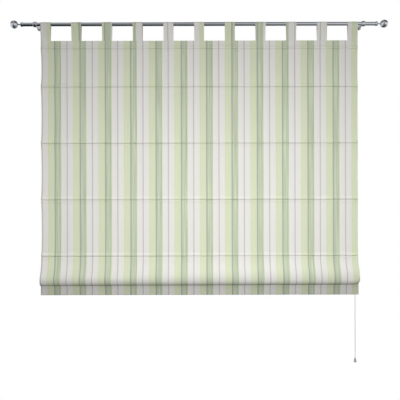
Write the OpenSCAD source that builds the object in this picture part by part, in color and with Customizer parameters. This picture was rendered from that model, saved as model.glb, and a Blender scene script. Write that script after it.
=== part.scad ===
// Roman blind on a pole. A striped cloth with sewn tabs hangs from a tube with ball ends. Rods in
// sewn tunnels keep it flat, its lowest length is drawn up into one fold, and cords that run up
// the back, through a lock, end in one pull at the side.
// X runs along the pole, the front faces -Y, and Z is up. The origin lies on the wall, midway
// between the brackets, at the height of the pole's axis.

/* [Blind] */
// Finished width of the cloth
blind_width = 1600; // [1000:10:2000]
// Pole axis to the top edge of the heading band
tab_drop = 84; // [60:1:130]
// Width of one tab
tab_width = 50; // [30:1:90]
// Height of the heading band
heading_height = 41; // [38:1:80]
// Heading seam to the first batten
first_drop = 193; // [120:1:320]
// Batten to batten down the panel
batten_pitch = 285; // [200:1:360]
// Thickness of the cloth
cloth = 0.8; // [0.5:0.1:1.2]

/* [Bottom fold] */
// Last seam to the lowest point of the fold
fold_drop = 141; // [100:1:170]
// How far the fold stands out in front of the panel
fold_depth = 36; // [28:1:60]
// Radius of the fold's rounded bottom
fold_radius = 13; // [8:0.5:16]
// Last seam to the lower edge of the hem
hem_drop = 194; // [180:1:300]
// How far the hem hangs forward of the panel
hem_forward = 8; // [0:1:12]
// Height of the pocket for the weight bar
hem_pocket = 30; // [26:1:60]

/* [Pole] */
// Length of the tube
pole_length = 1800; // [1100:10:2400]
// Outside diameter of the tube
pole_diameter = 19; // [16:0.5:28]
// Wall of the tube
pole_wall = 1.2; // [0.8:0.1:2]

/* [Finials] */
// Diameter of the ball
ball_diameter = 40; // [28:1:60]
// Diameter of the neck between ball and collar
neck_diameter = 7; // [5:0.5:12]
// Length of the neck that shows
neck_length = 9; // [5:0.5:20]
// Wall of the collar round the tube
collar_wall = 1.8; // [1.4:0.1:3]
// Length of the collar that grips the tube
collar_grip = 9; // [6:0.5:20]
// Length of the collar's tapered end
collar_taper = 6; // [3:0.5:10]

/* [Brackets] */
// Distance between the two brackets
bracket_spacing = 1658; // [1020:2:2200]
// Wall to the pole's axis
wall_gap = 75; // [60:1:140]
// Length of the ring along the pole
ring_length = 18; // [12:0.5:30]
// Wall of the ring round the pole
ring_wall = 4; // [3.2:0.1:6]
// Diameter of the arm
arm_diameter = 12; // [10:0.5:16]
// Diameter of the wall rosette
rosette_diameter = 22; // [18:0.5:60]
// Thickness of the wall rosette
rosette_thickness = 5; // [3:0.5:10]
// Diameter of the threaded hole for the wall stud
stud_hole_diameter = 5; // [4:0.5:7]
// Depth of that hole
stud_hole_depth = 16; // [10:1:30]

/* [Battens and bars] */
// Diameter of a batten
batten_diameter = 5; // [4:0.5:6]
// Batten end to the edge of the cloth
batten_inset = 6; // [2:0.5:15]
// Thickness of the bar in the heading band
top_bar_thickness = 3; // [2:0.5:5]
// Height of that bar
top_bar_height = 21; // [19:0.5:24]
// Thickness of the weight bar
bottom_bar_thickness = 4; // [3:0.5:6]
// Height of the weight bar
bottom_bar_height = 22; // [14:0.5:24]

/* [Cords] */
// Diameter of a lift cord
cord_diameter = 1.8; // [1.2:0.1:2]
// Diameter of the pull cord
pull_cord_diameter = 2.5; // [2:0.1:3]
// Outer pair of lift cords to the edge of the cloth
cord_inset = 80; // [60:1:200]
// Hole of a cord ring
cord_ring_hole = 6; // [5:0.5:8]
// Thickness of a cord ring
cord_ring_section = 2.5; // [2:0.1:3]
// Pole axis to the bottom of the pull
pull_drop = 1713; // [1300:1:2300]
// Diameter of the pull at its foot
acorn_diameter = 15; // [12:0.5:20]
// Height of the pull
acorn_height = 22; // [18:0.5:40]

/* [Cord lock] */
// Lock post to the edge of the cloth
lock_inset = 20; // [18:0.5:60]
// Diameter of the post that turns the cords
post_diameter = 8; // [6:0.5:10]
// Wall of the lock's body
lock_wall = 2; // [1.5:0.1:2.5]
// Reach of the cam's teeth from its pivot
cam_reach = 6.8; // [6:0.1:7]
// Diameter of the cam's pin
pin_diameter = 3; // [2:0.1:4]

/* [Hidden] */
$fn = 64;

// Counts
tab_count = 11;
panel_batten_count = 3;
batten_count = panel_batten_count + 2;
cord_count = 4;

// Clearances
seat = 0.3;
bar_clearance = 0.2;
running = 0.05;
overrun = 1;

// Steps on round stretches
round_steps = 8;
loop_steps = 16;

// Depths behind the wall line, counted along Y
pole_y = -wall_gap;
heading_span = top_bar_thickness + 2 * bar_clearance + cloth;
panel_y = pole_y - heading_span / 2;
heading_back_y = panel_y + heading_span + cloth / 2;

// Heights, counted from the pole's axis
heading_top_z = -tab_drop;
seam_z = heading_top_z - heading_height;
function batten_z(i) = seam_z - first_drop - (i - 1) * batten_pitch;
fold_seam_z = batten_z(panel_batten_count + 1);
hem_z = fold_seam_z - hem_drop;

// Sewn tunnel round a batten: middle of the cloth, neck and lip
seam_lip = 1.2;
neck_gap = 0.6;
neck_length_in = 2.2;
tunnel_r = batten_diameter / 2 + seat + cloth / 2;
tunnel_y = neck_length_in + tunnel_r;
neck_half = (cloth + neck_gap) / 2;
neck_angle = asin(neck_half / tunnel_r);
tunnel_apart = 2.3;
drawn_up_z = fold_seam_z - 2 * (tunnel_r + cloth / 2) - tunnel_apart;
panel_end_z = fold_seam_z + tunnel_r + 2 * cloth;

// Tabs
tab_pitch = (blind_width - tab_width) / (tab_count - 1);
tab_tuck = 15;
tab_leg_y = cloth + bar_clearance;
tab_loop_r = pole_diameter / 2 + seat + cloth / 2;
function tab_x(i) = -(blind_width - tab_width) / 2 + (i - 1) * tab_pitch;

// Fold: how far the cloth's handles reach, as shares of the height that they steer
fold_front_handle_shares = [0.45, 0.35];
fold_back_handle_share = 0.3;
fold_back_angle = 350;
neck_below = 1.5;
hem_span = bottom_bar_thickness + 2 * bar_clearance + cloth;
hem_lip = 6;

// Rings and the depth at which all cords hang
cord_ring_r = (cord_ring_hole + cord_ring_section) / 2;
cord_y = panel_y + tunnel_y + tunnel_r + cloth / 2 + seat + cord_ring_r + cord_ring_section / 2;
cord_pitch = (blind_width - 2 * cord_inset) / (cord_count - 1);
knot_r = 3.6;
function cord_x(k) = -blind_width / 2 + cord_inset + (k - 1) * cord_pitch;
function ring_z(i) = i == batten_count ? drawn_up_z : batten_z(i);
knot_z = drawn_up_z - cord_ring_section / 2 - seat - knot_r;

// Cord lock: the cords turn down round its post, one outside the other
cord_step = cord_diameter + seat;
lock_x = blind_width / 2 - lock_inset;
lock_below_edge = 24;
lock_z = heading_top_z - lock_below_edge;
turn_r = post_diameter / 2 + seat + cord_diameter / 2;
function turn(k) = turn_r + (cord_count - k) * cord_step;
cord_bend = 6;
lock_wall_r = turn(1) + cord_diameter / 2 + seat + lock_wall / 2;
lock_left = 15;
lock_above = lock_wall_r + lock_wall / 2;
lock_below = 26;
lock_corner = 2;
lock_cheek_y = cord_y + 2 * cord_diameter;
lock_wall_start = 105;
cheek_share = 0.62;

// Cam and its pin
cam_x = lock_x + turn_r - cord_diameter / 2 - seat - cam_reach;
cam_below_post = 15;
cam_z = lock_z - cam_below_post;
cam_boss_r = 4;
cam_tooth = 0.7;
cam_teeth = 6;
cam_nose_from = -62;
cam_nose_to = 40;
pin_head_r = 2.4;
pin_head = 1;

// Cord guides
guide_width = 6;
guide_wall = 1.8;
guide_shift = 11;
guide_base = 2;
guide_base_width = 12;
guide_slot_w = 2 * cord_diameter;
guide_slot_h = (cord_count - 1) * cord_step + 2 * cord_diameter;
guide_slot_z = lock_z + (turn(1) + turn(cord_count)) / 2;
guide_foot_rise = 3;
guide_foot_z = seam_z + guide_foot_rise;
guide_corner = 1.5;

// Screws that hold guides and lock to the bar
screw_r = 1.5;
screw_head_r = 2.7;
screw_head = 1.6;
screw_slot = 0.8;
screw_z = seam_z + cloth + bar_clearance + top_bar_height / 2;
screw_margin = 1.5;
lock_screw_x = lock_x - lock_left + screw_head_r + screw_margin;
screw_apart = 7;
screw_tip_y = panel_y + heading_span / 2 - top_bar_thickness / 2 + bar_clearance;

// Pull
drop_x = lock_x + (turn(1) + turn(cord_count)) / 2;
connector_r = 5;
connector_height = 24;
connector_taper = 7;
connector_foot_r = 3;
connector_below_post = 42;
connector_top_z = lock_z - connector_below_post;
acorn_top_r = 2.8;
acorn_wall = 1.4;
acorn_foot = 2;
pull_knot_r = 3;
acorn_shoulder_share = 0.55;
pull_shoulder_z = acorn_height * acorn_shoulder_share - pull_drop;
pull_knot_z = pull_shoulder_z - seat - pull_knot_r;

// Finials and grub screws
collar_bore_r = pole_diameter / 2 + running;
collar_r = collar_bore_r + collar_wall;
collar_in = pole_length / 2 - collar_grip;
collar_out = pole_length / 2 + collar_taper;
ball_x = collar_out + neck_length + sqrt(pow(ball_diameter / 2, 2) - pow(neck_diameter / 2, 2));
finial_grub_r = 1.5;
bracket_grub_r = 2;
grub_flush = 0.2;
grub_socket_share = 0.5;

// Brackets
ring_bore_r = pole_diameter / 2 + running;
ring_r = ring_bore_r + ring_wall;
ring_edge = 3;
arm_flare = 3;
arm_flare_length = 9;

// Colours
chrome = [0.78, 0.79, 0.81];
steel = [0.62, 0.63, 0.65];
stripe_cloth = [0.86, 0.89, 0.77];
clear_plastic = [0.86, 0.87, 0.89];
white_plastic = [0.93, 0.93, 0.92];
fibreglass = [0.9, 0.9, 0.86];
aluminium = [0.75, 0.76, 0.77];
cord_white = [0.94, 0.94, 0.93];

// Points on an arc about c
function arc(c, r, from, to, n) =
    [for (i = [0:n]) let (a = from + (to - from) * i / n) c + r * [cos(a), sin(a)]];

// Points on a curve from p to s that leaves towards q and arrives from r
function curve(p, q, r, s, n) =
    [
        for (i = [0:n])
            let (t = i / n, u = 1 - t)
            u * u * u * p + 3 * u * u * t * q + 3 * u * t * t * r + t * t * t * s
    ];

function tail(p) = [for (i = [1:len(p) - 1]) p[i]];
function unit(v) = v / norm(v);
function side(v) = [-v[1], v[0]];

// Side vector at point i of a path, long enough to keep the width round a corner
function mitre(p, i) =
    let (
        a = side(unit(p[min(i, len(p) - 2) + 1] - p[min(i, len(p) - 2)])),
        b = side(unit(p[max(i, 1)] - p[max(i, 1) - 1]))
    )
    (a + b) / (1 + a * b);

// Outline of a band of even width along a path
function band(p, w) =
    concat(
        [for (i = [0:len(p) - 1]) p[i] + mitre(p, i) * w / 2],
        [for (i = [len(p) - 1:-1:0]) p[i] - mitre(p, i) * w / 2]
    );

function round_rect(w, h, r) =
    concat(
        arc([w / 2 - r, h / 2 - r], r, 0, 90, round_steps),
        arc([r - w / 2, h / 2 - r], r, 90, 180, round_steps),
        arc([r - w / 2, r - h / 2], r, 180, 270, round_steps),
        arc([w / 2 - r, r - h / 2], r, 270, 360, round_steps)
    );

// Cloth that turns back behind the panel round a batten at height z, and returns to the front
function tunnel(z) =
    concat(
        arc([seam_lip, z + neck_half + seam_lip], seam_lip, 180, 270, round_steps / 2),
        arc([tunnel_y, z], tunnel_r, 180 - neck_angle, neck_angle - 180, loop_steps),
        arc([seam_lip, z - neck_half - seam_lip], seam_lip, 90, 180, round_steps / 2)
    );

// A flat shape in Y and Z, stretched along X about the middle
module along_x(width) {
    rotate([90, 0, 90])
        linear_extrude(width, center = true)
            children();
}

// A flat shape in X and Z, stretched along Y between two depths
module along_y(from, to) {
    translate([0, to, 0])
        rotate([90, 0, 0])
            linear_extrude(to - from)
                children();
}

module rod_y(x, z, r, from, to) {
    translate([x, from, z])
        rotate([-90, 0, 0])
            cylinder(r = r, h = to - from);
}

// A sheet of the blind's cloth, drawn as a path behind the panel's own plane
module sheet(path, width) {
    color(stripe_cloth)
        translate([0, panel_y, 0])
            along_x(width)
                polygon(band(path, cloth));
}

// A cord of eight sides that follows a path in X and Z
module cord_tube(path, r) {
    sides = 8;
    n = len(path);
    points = [
        for (i = [0:n - 1])
            let (m = mitre(path, i))
            for (j = [0:sides - 1])
                let (a = 360 * j / sides)
                [path[i][0] + r * cos(a) * m[0], cord_y + r * sin(a), path[i][1] + r * cos(a) * m[1]]
    ];
    walls = [
        for (i = [0:n - 2])
            for (j = [0:sides - 1])
                let (a = i * sides + j, b = i * sides + (j + 1) % sides)
                [a, b, b + sides, a + sides]
    ];
    foot = [[for (j = [sides - 1:-1:0]) j]];
    head = [[for (j = [0:sides - 1]) (n - 1) * sides + j]];
    color(cord_white)
        polyhedron(points, concat(walls, foot, head), convexity = 4);
}

// The tube, open at both ends
module pole() {
    bore = pole_diameter - 2 * pole_wall;
    color(chrome)
        translate([0, pole_y, 0])
            rotate([0, 90, 0])
                difference() {
                    cylinder(d = pole_diameter, h = pole_length, center = true);
                    cylinder(d = bore, h = pole_length + 2 * overrun, center = true);
                }
}

// Turned in one piece: a collar over the end of the tube, a thin neck and a ball
module finial() {
    color(chrome)
        translate([0, pole_y, 0])
            difference() {
                rotate([0, 90, 0])
                    union() {
                        translate([0, 0, collar_in])
                            cylinder(r = collar_r, h = collar_grip);
                        translate([0, 0, pole_length / 2])
                            cylinder(r1 = collar_r, r2 = neck_diameter / 2, h = collar_taper);
                        translate([0, 0, pole_length / 2])
                            cylinder(d = neck_diameter, h = ball_x - pole_length / 2);
                        translate([0, 0, ball_x])
                            sphere(d = ball_diameter);
                    }
                rotate([0, 90, 0])
                    translate([0, 0, collar_in - overrun])
                        cylinder(r = collar_bore_r, h = collar_grip + overrun);
                translate([collar_in + collar_grip / 2, 0, -collar_r - overrun])
                    cylinder(r = finial_grub_r + running, h = collar_r + overrun);
            }
}

// A socket screw that stands under the tube, flush with what it is screwed through
module grub_screw(x, r, out) {
    length = out - pole_diameter / 2 - running - grub_flush;
    color(steel)
        translate([x, pole_y, grub_flush - out])
            difference() {
                cylinder(r = r, h = length);
                translate([0, 0, -overrun])
                    cylinder(r = r * grub_socket_share, h = length * grub_socket_share + overrun, $fn = 6);
            }
}

module finial_grub_screws() {
    for (s = [-1, 1])
        grub_screw(s * (collar_in + collar_grip / 2), finial_grub_r, collar_r);
}

module bracket_grub_screws() {
    for (s = [-1, 1])
        grub_screw(s * bracket_spacing / 2, bracket_grub_r, ring_r);
}

// Ring with rounded edges and an arm to the wall, cast in one
module bracket(x) {
    ring_outline = concat(
        [[0, -ring_length / 2]],
        arc([ring_r - ring_edge, ring_edge - ring_length / 2], ring_edge, -90, 0, round_steps),
        arc([ring_r - ring_edge, ring_length / 2 - ring_edge], ring_edge, 0, 90, round_steps),
        [[0, ring_length / 2]]
    );
    color(chrome)
        translate([x, pole_y, 0])
            difference() {
                union() {
                    rotate([0, 90, 0])
                        rotate_extrude()
                            polygon(ring_outline);
                    rod_y(0, 0, arm_diameter / 2, 0, wall_gap);
                    translate([0, ring_bore_r, 0])
                        rotate([-90, 0, 0])
                            cylinder(
                                r1 = arm_diameter / 2 + arm_flare,
                                r2 = arm_diameter / 2,
                                h = ring_wall + arm_flare_length
                            );
                }
                rotate([0, 90, 0])
                    cylinder(r = ring_bore_r, h = ring_length + 2 * overrun, center = true);
                rod_y(0, 0, stud_hole_diameter / 2, wall_gap - stud_hole_depth, wall_gap + overrun);
                translate([0, 0, -ring_r - overrun])
                    cylinder(r = bracket_grub_r + running, h = ring_r + overrun);
            }
}

// Domed plate on the end of the arm, flat against the wall
module rosette(x) {
    dome = rosette_thickness / 2;
    rim = rosette_diameter / 2;
    bore = arm_diameter / 2 + running;
    color(chrome)
        translate([x, 0, 0])
            rotate([90, 0, 0])
                rotate_extrude()
                    polygon(concat(
                        [[bore, 0]],
                        [[rim, 0]],
                        arc([rim - dome, rosette_thickness - dome], dome, 0, 90, round_steps),
                        [[bore, rosette_thickness]]
                    ));
}

// Loop of doubled cloth: both legs leave the heading band side by side and close round the pole
module tab(i) {
    centre = [heading_span / 2, 0];
    front = [tab_leg_y, heading_top_z];
    back = [heading_span - tab_leg_y, heading_top_z];
    lean = atan2(centre[0] - front[0], -heading_top_z);
    wrap = acos(tab_loop_r / norm(front - centre));
    loop = concat(
        [front - [0, tab_tuck]],
        [front],
        arc(centre, tab_loop_r, 270 - lean - wrap, lean + wrap - 90, loop_steps),
        [back],
        [back - [0, tab_tuck]]
    );
    translate([tab_x(i), 0, 0])
        sheet(loop, tab_width);
}

module screw_holes(r) {
    for (k = [1:cord_count])
        rod_y(cord_x(k) + guide_shift, screw_z, r, panel_y + cloth, heading_back_y + overrun);
    for (s = [-1, 1])
        rod_y(lock_screw_x, screw_z + s * screw_apart / 2, r, panel_y + cloth, heading_back_y + overrun);
}

// Band of two layers, closed at its lower seam, that takes the tabs and the bar
module heading_band() {
    foot = seam_z + cloth / 2 + seam_lip;
    path = concat(
        [[0, heading_top_z]],
        arc([seam_lip, foot], seam_lip, 180, 270, round_steps / 2),
        arc([heading_span - seam_lip, foot], seam_lip, 270, 360, round_steps / 2),
        [[heading_span, heading_top_z]]
    );
    color(stripe_cloth)
        difference() {
            sheet(path, blind_width);
            screw_holes(screw_r + bar_clearance);
        }
}

// Flat bar in the heading, its edges round as the cloth that turns under it
module top_bar() {
    edge = seam_lip - cloth / 2 - bar_clearance;
    color(aluminium)
        difference() {
            translate([0, panel_y + heading_span / 2, screw_z])
                along_x(blind_width - 2 * batten_inset)
                    polygon(round_rect(top_bar_thickness, top_bar_height, edge));
            screw_holes(screw_r + running);
        }
}

// Flat cloth from the heading seam down to the last seam, with a tunnel at each batten
module blind_panel() {
    top = seam_z - cloth / 2;
    path = concat(
        [[heading_span / 2, top]],
        arc([seam_lip, top - seam_lip], seam_lip, 90, 180, round_steps / 2),
        [for (i = [1:panel_batten_count]) each tunnel(batten_z(i))],
        [[0, panel_end_z + bar_clearance]]
    );
    sheet(path, blind_width);
}

// The last length of cloth: down the front of the fold, round its bottom, up to the batten that
// is drawn up under the last seam, over it, and down again to the hem and its pocket
module bottom_fold() {
    start = fold_seam_z - neck_half - seam_lip;
    turn_z = fold_seam_z - fold_drop + cloth / 2 + fold_radius;
    front_y = cloth / 2 - fold_depth;
    turn_c = [front_y + fold_radius, turn_z];
    bottom = arc(turn_c, fold_radius, 180, fold_back_angle, loop_steps);
    rear = bottom[loop_steps];
    rear_way = [-sin(fold_back_angle), cos(fold_back_angle)];
    neck_z = drawn_up_z - tunnel_r - neck_below;
    neck_front = [tunnel_y - neck_half, neck_z];
    neck_back = [tunnel_y + neck_half, neck_z];
    front_down = [0, turn_z - start];
    back_up = [0, neck_z - rear[1]];
    hem_y = -hem_forward;
    pocket_z = hem_z + cloth / 2 + hem_span / 2;
    pocket_top = hem_z + hem_pocket;
    hem_start = [hem_y, pocket_top + hem_lip + hem_lip];
    hem_down = [0, hem_start[1] - neck_z];
    path = concat(
        [[0, panel_end_z]],
        tunnel(fold_seam_z),
        tail(curve(
            [0, start],
            [0, start] + fold_front_handle_shares[0] * front_down,
            [front_y, turn_z] - fold_front_handle_shares[1] * front_down,
            [front_y, turn_z],
            loop_steps
        )),
        tail(bottom),
        tail(curve(
            rear,
            rear + rear_way * back_up[1] * fold_back_handle_share,
            neck_front - back_up * fold_back_handle_share,
            neck_front,
            loop_steps
        )),
        arc([tunnel_y, drawn_up_z], tunnel_r, 270 - neck_angle, neck_angle - 90, loop_steps),
        curve(
            neck_back,
            neck_back + hem_down * fold_back_handle_share,
            hem_start - hem_down * fold_back_handle_share,
            hem_start,
            loop_steps
        ),
        arc([hem_y + hem_span / 2, pocket_z], hem_span / 2, 180, 360, round_steps),
        [[hem_y + hem_span, pocket_top]],
        [[hem_y + cloth + bar_clearance, pocket_top + hem_lip]]
    );
    sheet(path, blind_width);
}

// Weight bar with round edges
module bottom_bar() {
    middle = hem_z + cloth + bar_clearance + bottom_bar_height / 2;
    edge = bottom_bar_thickness / 2 - running;
    color(aluminium)
        translate([0, panel_y - hem_forward + hem_span / 2, middle])
            along_x(blind_width - 2 * batten_inset)
                polygon(round_rect(bottom_bar_thickness, bottom_bar_height, edge));
}

module batten(i) {
    color(fibreglass)
        translate([0, panel_y + tunnel_y, ring_z(i)])
            rotate([0, 90, 0])
                cylinder(d = batten_diameter, h = blind_width - 2 * batten_inset, center = true);
}

// The rings of one batten, flat side up, one for each lift cord
module rings(i) {
    color(clear_plastic)
        for (k = [1:cord_count])
            translate([cord_x(k), cord_y, ring_z(i)])
                rotate_extrude()
                    translate([cord_ring_r, 0])
                        circle(d = cord_ring_section);
}

// Eye on a foot: every cord from further along passes through its slot
module cord_guide(k) {
    base_back = heading_back_y + guide_base;
    eye_back = cord_y + guide_slot_w / 2 + guide_wall;
    eye_depth = eye_back - heading_back_y;
    eye_h = guide_slot_h + 2 * guide_wall;
    foot_h = guide_slot_z + eye_h / 2 - guide_foot_z;
    color(white_plastic)
        translate([cord_x(k) + guide_shift, 0, 0])
            difference() {
                union() {
                    along_y(heading_back_y, base_back)
                        translate([0, guide_foot_z + foot_h / 2])
                            polygon(round_rect(guide_base_width, foot_h, guide_corner));
                    translate([0, heading_back_y + eye_depth / 2, guide_slot_z])
                        along_x(guide_width)
                            polygon(round_rect(eye_depth, eye_h, guide_corner));
                }
                translate([0, cord_y, guide_slot_z])
                    along_x(guide_width + 2 * overrun)
                        polygon(round_rect(guide_slot_w, guide_slot_h, guide_slot_w / 2 - running));
                rod_y(0, screw_z, screw_r + bar_clearance, heading_back_y - overrun, base_back + overrun);
            }
}

// Pan head screw, its tip in the bar
module guide_screw(x, z, under) {
    head_back = under + screw_head;
    difference() {
        union() {
            rod_y(x, z, screw_r, screw_tip_y, under + overrun);
            rod_y(x, z, screw_head_r, under, head_back);
        }
        translate([x, head_back, z])
            cube([2 * screw_head_r + overrun, screw_head, screw_slot], center = true);
    }
}

module guide_screws() {
    color(steel) {
        for (k = [1:cord_count])
            guide_screw(cord_x(k) + guide_shift, screw_z, heading_back_y + guide_base);
        for (s = [-1, 1])
            guide_screw(lock_screw_x, screw_z + s * screw_apart / 2, heading_back_y + lock_wall);
    }
}

// Open housing: a foot on the heading band, a post that the cords turn round, a wall outside them
// that runs down as the jaw opposite the cam, and a cheek over the pin
module cord_lock() {
    foot_w = lock_left + lock_above;
    foot_h = lock_above + lock_below;
    foot_back = heading_back_y + lock_wall;
    cheek_back = lock_cheek_y + lock_wall;
    cheek_h = foot_h * cheek_share;
    centre = [lock_x, lock_z];
    wall_path = concat(
        arc(centre, lock_wall_r, lock_wall_start, 0, loop_steps),
        [centre + [lock_wall_r, lock_corner - lock_below]]
    );
    color(white_plastic)
        difference() {
            union() {
                along_y(heading_back_y, foot_back)
                    translate(centre + [lock_above - foot_w / 2, lock_above - foot_h / 2])
                        polygon(round_rect(foot_w, foot_h, lock_corner));
                along_y(foot_back, lock_cheek_y)
                    polygon(band(wall_path, lock_wall));
                rod_y(lock_x, lock_z, post_diameter / 2, foot_back, lock_cheek_y);
                along_y(lock_cheek_y, cheek_back)
                    translate(centre + [lock_above - foot_w / 2 + lock_left / 4, cheek_h / 2 - lock_below])
                        polygon(round_rect(foot_w - lock_left / 2, cheek_h, lock_corner));
            }
            rod_y(cam_x, cam_z, pin_diameter / 2 + running, heading_back_y - overrun, cheek_back + overrun);
            for (s = [-1, 1])
                rod_y(
                    lock_screw_x,
                    screw_z + s * screw_apart / 2,
                    screw_r + bar_clearance,
                    heading_back_y - overrun,
                    foot_back + overrun
                );
        }
}

// Toothed cam that bites the cords when they try to run back
module lock_cam() {
    nose = [
        for (i = [0:2 * cam_teeth])
            let (a = cam_nose_from + (cam_nose_to - cam_nose_from) * i / (2 * cam_teeth))
            (i % 2 == 0 ? cam_reach - cam_tooth : cam_reach) * [cos(a), sin(a)]
    ];
    color(steel)
        difference() {
            along_y(heading_back_y + lock_wall + seat, lock_cheek_y - seat)
                translate([cam_x, cam_z])
                    polygon(concat(nose, arc([0, 0], cam_boss_r, 90, 270, loop_steps)));
            rod_y(
                cam_x,
                cam_z,
                pin_diameter / 2 + running,
                heading_back_y - overrun,
                lock_cheek_y + overrun
            );
        }
}

module lock_pin() {
    cheek_back = lock_cheek_y + lock_wall;
    color(steel) {
        rod_y(cam_x, cam_z, pin_diameter / 2, heading_back_y + running, cheek_back + running);
        rod_y(cam_x, cam_z, pin_head_r, cheek_back + running, cheek_back + running + pin_head);
    }
}

// From its knot up through the rings, over to the side at its own level, and round the lock's post
module lift_cord(k) {
    level = lock_z + turn(k);
    path = concat(
        [[cord_x(k), knot_z]],
        arc([cord_x(k) + cord_bend, level - cord_bend], cord_bend, 180, 90, round_steps / 2),
        arc([lock_x, lock_z], turn(k), 90, 0, round_steps)
    );
    cord_tube(path, cord_diameter / 2);
}

module cord_knots() {
    color(cord_white)
        for (k = [1:cord_count])
            translate([cord_x(k), cord_y, knot_z])
                difference() {
                    sphere(r = knot_r);
                    cylinder(r = cord_diameter / 2 + running, h = knot_r + overrun);
                }
}

// The cords below the lock, down to the connector
module cord_drop() {
    color(cord_white)
        for (k = [1:cord_count])
            translate([lock_x + turn(k), cord_y, connector_top_z])
                cylinder(d = cord_diameter, h = lock_z - connector_top_z);
}

// Barrel that takes all lift cords at its head and the pull cord at its foot
module cord_connector() {
    color(clear_plastic)
        translate([drop_x, cord_y, connector_top_z - connector_height])
            rotate_extrude()
                polygon([
                    [0, 0],
                    [connector_foot_r, 0],
                    [connector_r, connector_taper],
                    [connector_r, connector_height],
                    [0, connector_height]
                ]);
}

module pull_cord() {
    foot = pull_knot_z;
    color(cord_white)
        translate([drop_x, cord_y, foot])
            cylinder(d = pull_cord_diameter, h = connector_top_z - connector_height - foot);
}

// Hollow cone: the cord comes in at the top and its knot stops under the shoulder
module pull_acorn() {
    shoulder = acorn_height * acorn_shoulder_share;
    bore = pull_cord_diameter / 2 + running;
    rim = acorn_diameter / 2;
    tip = [acorn_top_r - acorn_wall, acorn_height - acorn_wall];
    color(clear_plastic)
        translate([drop_x, cord_y, -pull_drop])
            rotate_extrude()
                polygon(concat(
                    [[rim - acorn_wall, 0]],
                    [[rim, 0]],
                    [[rim, acorn_foot]],
                    arc(tip, acorn_wall, 0, 90, round_steps),
                    [[bore, acorn_height]],
                    [[bore, shoulder]],
                    [[pull_knot_r + seat, shoulder]],
                    [[rim - acorn_wall, acorn_foot]]
                ));
}

module pull_knot() {
    color(cord_white)
        translate([drop_x, cord_y, pull_knot_z])
            difference() {
                sphere(r = pull_knot_r);
                cylinder(r = pull_cord_diameter / 2 + running, h = pull_knot_r + overrun);
            }
}

pole();
mirror([1, 0, 0]) finial();  // finial_left
finial();  // finial_right
finial_grub_screws();
bracket(-bracket_spacing / 2);  // bracket_left
bracket(bracket_spacing / 2);  // bracket_right
rosette(-bracket_spacing / 2);  // rosette_left
rosette(bracket_spacing / 2);  // rosette_right
bracket_grub_screws();
for (i = [1:tab_count])
    tab(i);
heading_band();
top_bar();
blind_panel();
bottom_fold();
bottom_bar();
for (i = [1:batten_count])
    batten(i);
for (i = [1:batten_count])
    rings(i);
for (k = [1:cord_count])
    cord_guide(k);
guide_screws();
cord_lock();
lock_cam();
lock_pin();
for (k = [1:cord_count])
    lift_cord(k);
cord_knots();
cord_drop();
cord_connector();
pull_cord();
pull_acorn();
pull_knot();
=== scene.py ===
"""Roman blind that hangs by tabs from a chrome pole: its cloth, cords and finishes, in a plain studio."""
import math

import bpy
import numpy as np
from mathutils import Matrix, Vector


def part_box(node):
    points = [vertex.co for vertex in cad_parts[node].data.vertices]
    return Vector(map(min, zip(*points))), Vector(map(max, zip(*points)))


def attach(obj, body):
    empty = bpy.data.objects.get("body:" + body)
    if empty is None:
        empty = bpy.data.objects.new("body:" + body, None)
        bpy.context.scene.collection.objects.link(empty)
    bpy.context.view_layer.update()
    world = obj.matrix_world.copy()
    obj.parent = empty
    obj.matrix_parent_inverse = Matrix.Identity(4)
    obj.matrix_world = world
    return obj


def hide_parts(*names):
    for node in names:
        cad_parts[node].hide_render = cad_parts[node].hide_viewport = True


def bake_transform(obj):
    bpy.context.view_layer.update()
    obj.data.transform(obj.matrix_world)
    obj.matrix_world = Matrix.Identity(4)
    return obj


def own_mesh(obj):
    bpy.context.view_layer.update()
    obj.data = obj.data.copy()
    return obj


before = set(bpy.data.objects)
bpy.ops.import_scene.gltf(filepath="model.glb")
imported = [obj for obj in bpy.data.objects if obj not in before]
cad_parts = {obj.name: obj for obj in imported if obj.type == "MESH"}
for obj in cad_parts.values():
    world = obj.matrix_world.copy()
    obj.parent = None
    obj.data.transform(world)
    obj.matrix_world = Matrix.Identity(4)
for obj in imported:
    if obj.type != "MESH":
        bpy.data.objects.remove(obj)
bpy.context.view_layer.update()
MM = 0.001

# Camera: square to the blind, level with the middle of the picture
VIEW_DISTANCE = 2806 * MM
VIEW_X = 2.5 * MM
VIEW_Z = -889 * MM
VIEW_ROLL = math.radians(-0.13)
LENS = 50
SENSOR = 36

# The cloth and how it is sewn
CLOTH = 0.8 * MM
SEAM_LIP = 1.2 * MM
NECK_HALF = 0.7 * MM
SEAT = 0.3 * MM
COLUMN_STEP = 8 * MM
ROW_STEP = 6 * MM
HEM_WIDTH = 25 * MM
HEM_TURN = 0.5 * MM
SIDE_BOW_LEFT = 3 * MM
SIDE_BOW_RIGHT = 1.2 * MM
BOW_REACH = 220 * MM
RIPPLE = 0.7 * MM

# The fold above the hem, as the solids have it
FOLD_BACK_SHARE = 0.6
FOLD_POINTS = 24
HEM_LEAVE_SHARE = 0.7
HEM_ARRIVE_SHARE = 0.25
FOLD_NECK_BELOW = 1.5 * MM
HEM_FORWARD = 8 * MM
HEM_SPAN = 5.2 * MM
HEM_POCKET = 30 * MM
HEM_LIP = 6 * MM
LIP_BELOW = 3.4 * MM
LIP_OUT = 2 * MM
TUCK_OUT = 3.6 * MM
TUCK_UNDER = 4.4 * MM
TUCK_RISE = 16 * MM
EASE_POINTS = 11
FOLD_LESS_LEFT = 3.5 * MM
FOLD_BELLY_UP = 27 * MM
FOLD_ROUND = 17 * MM
FOLD_BLEND = 400 * MM
FOLD_CORNER = 26 * MM
FOLD_CORNER_RISE = 14 * MM
FOLD_CORNER_REACH = 60 * MM
FOLD_SLANT = 5 * MM
FOLD_LENGTH = 141 * MM
LEFT_SHARES = (0.7, 0.2)
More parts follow.
